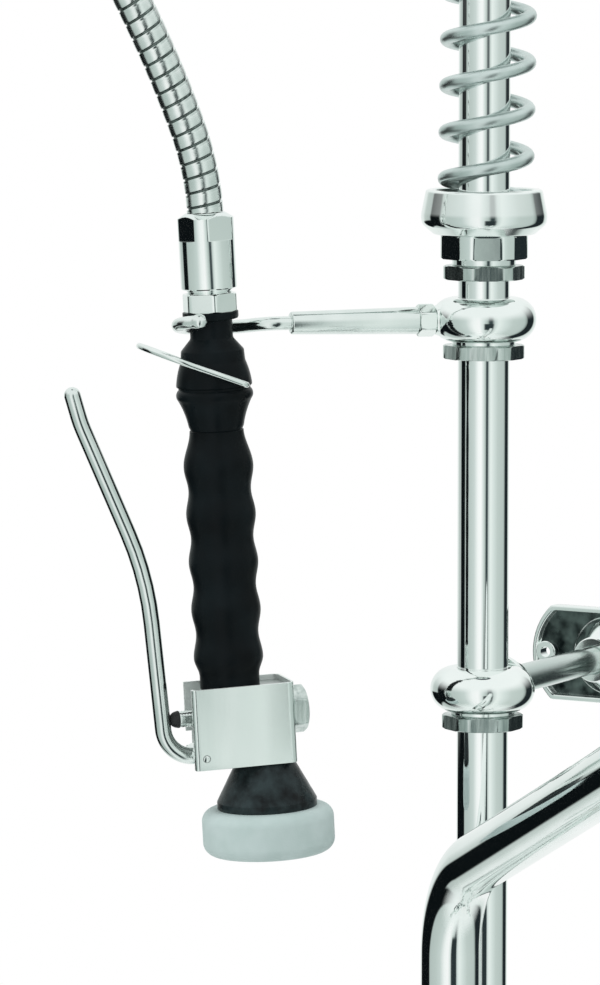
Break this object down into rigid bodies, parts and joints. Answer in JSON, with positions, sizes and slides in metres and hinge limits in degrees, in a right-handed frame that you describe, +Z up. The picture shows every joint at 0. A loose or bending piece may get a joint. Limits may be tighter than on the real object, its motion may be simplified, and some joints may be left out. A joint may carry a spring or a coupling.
{
  "type": "pre rinse faucet",
  "caption": "Deck-mounted rinsing faucet: lever valves, swinging spout, wall-braced riser, overhead hose with balance spring, and a trigger spray gun hung on a hook.",
  "frame": {"origin": "centre of the deck hole, on the deck's top face, on the riser's axis", "axes": "+Z up along the riser, +Y towards the wall behind, +X to the right of someone who faces the wall"},
  "size_m": [0.3935, 0.3697, 1.0292],
  "materials": {
    "chromed_brass": "polished chrome plating over brass",
    "polished_steel": "polished stainless steel",
    "satin_steel": "satin stainless steel",
    "brass": "bare machined brass",
    "copper_tube": "plain copper tube",
    "black_rubber": "matt black rubber",
    "black_plastic": "satin black moulded plastic",
    "light_plastic": "off-white moulded plastic",
    "grey_rubber": "light grey moulded rubber"
  },
  "bodies": {
    "stand": {"deck_gasket": "black_rubber", "deck_flange": "chromed_brass", "mounting_shank": "brass", "clamp_washer": "satin_steel", "deck_locknut": "brass", "mixer_body": "chromed_brass", "hot_tail": "copper_tube", "cold_tail": "copper_tube", "hot_headwork": "chromed_brass", "cold_headwork": "chromed_brass", "spout_headwork": "chromed_brass", "riser_tube": "polished_steel", "riser_nut": "chromed_brass", "hose_top_fitting": "chromed_brass", "spout_slip_ring": "light_plastic", "wall_ring": "chromed_brass", "wall_ring_nut": "chromed_brass", "wall_rod": "satin_steel", "wall_flange": "chromed_brass", "hook_ring": "chromed_brass", "hook_ring_nut": "chromed_brass", "hook_locknut": "chromed_brass", "hook_sleeve": "polished_steel", "hook_rod": "polished_steel", "spring_cup": "chromed_brass", "cup_locknut": "chromed_brass", "balance_spring": "satin_steel", "spring_bush": "light_plastic", "hose": "satin_steel"},
    "hot_control": {"hot_spindle": "brass", "hot_handle": "chromed_brass"},
    "cold_control": {"cold_spindle": "brass", "cold_handle": "chromed_brass"},
    "spout_control": {"spout_spindle": "brass", "spout_handle": "chromed_brass"},
    "spout": {"spout_tube": "polished_steel", "spout_o_rings": "black_rubber", "aerator_housing": "chromed_brass", "aerator_insert": "light_plastic"},
    "hose_end": {"hose_ferrule": "chromed_brass"},
    "gun": {"swivel_nut": "chromed_brass", "swivel_washer": "black_rubber", "gun_neck": "black_plastic", "water_tube": "polished_steel", "grip_sleeve": "black_plastic", "valve_body": "brass", "valve_cover": "satin_steel", "lever_pin": "polished_steel", "stem_o_ring": "black_rubber", "end_cap": "chromed_brass", "valve_spring": "satin_steel", "spray_cone": "black_plastic", "bumper": "grey_rubber", "spray_plate": "satin_steel"},
    "trigger": {"lever": "polished_steel"},
    "valve_plunger": {"plunger": "satin_steel", "plunger_tip": "black_rubber"},
    "bail": {"lock_bail": "polished_steel"}
  },
  "joints": [
    {"name": "hot_valve", "type": "hinge", "parent": "stand", "child": "hot_control", "pos_m": [-0.053, 0, 0.046], "axis": [1, 0, 0], "range_deg": [0, 90]},
    {"name": "cold_valve", "type": "hinge", "parent": "stand", "child": "cold_control", "pos_m": [0.053, 0, 0.046], "axis": [1, 0, 0], "range_deg": [0, 90]},
    {"name": "spout_valve", "type": "hinge", "parent": "stand", "child": "spout_control", "pos_m": [0, -0.067, 0.095], "axis": [0, -1, 0], "range_deg": [0, 90]},
    {"name": "spout_swing", "type": "hinge", "parent": "stand", "child": "spout", "pos_m": [0, -0.032, 0.112], "axis": [0, 0, 1], "range_deg": [-28, 58]},
    {"name": "unhook", "type": "slide", "parent": "stand", "child": "hose_end", "axis": [0.9925, 0.1219, 0], "range_m": [0, 0.04]},
    {"name": "gun_swivel", "type": "hinge", "parent": "hose_end", "child": "gun", "pos_m": [-0.09679, -0.09679, 0.52159], "axis": [-0.037, -0.037, 0.9986], "continuous": true},
    {"name": "lever_pull", "type": "hinge", "parent": "gun", "child": "trigger", "pos_m": [-0.1008, -0.1008, 0.30319], "axis": [-0.7071, 0.7071, 0], "range_deg": [0, 11.5], "stiffness_Nm_per_rad": 2, "springref_deg": -28.65},
    {"name": "valve_stroke", "type": "slide", "parent": "gun", "child": "valve_plunger", "axis": [0.7061, 0.7061, 0.0523], "range_m": [0, 0.0037], "deforming": ["valve_spring"]},
    {"name": "bail_latch", "type": "hinge", "parent": "gun", "child": "bail", "pos_m": [-0.08729, -0.08729, 0.48314], "axis": [0.7071, -0.7071, 0], "range_deg": [0, 16]}
  ],
  "couplings": [
    {"joint": "valve_stroke", "follows": "lever_pull", "m_per_rad": 0.018}
  ]
}
